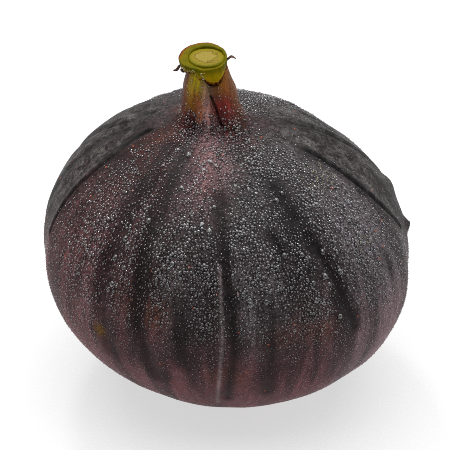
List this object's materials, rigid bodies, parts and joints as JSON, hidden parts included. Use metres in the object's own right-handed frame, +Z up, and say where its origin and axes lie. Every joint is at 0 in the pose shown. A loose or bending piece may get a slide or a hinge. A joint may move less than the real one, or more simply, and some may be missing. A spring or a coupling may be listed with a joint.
{
  "type": "fresh fig",
  "caption": "Whole fresh black fig as picked, with a short cut stalk and a torn green collar, resting upright on its eye end.",
  "frame": {"origin": "on the surface that the fig rests on, under the middle of its bounding box", "axes": "+Z up, from the eye at the bottom to the cut stalk; -X is the side that the neck leans to; -Y is the front"},
  "size_m": [0.0546, 0.054, 0.0535],
  "materials": {
    "skin": "dark purple fruit skin with a dull waxy bloom, satin",
    "stalk": "freshly cut green stalk, moist pale pith",
    "collar": "green plant skin, brown and dry at its torn edge"
  },
  "bodies": {
    "root": {"fruit": "skin", "stalk": "stalk", "bract_collar": "collar"}
  },
  "joints": []
}
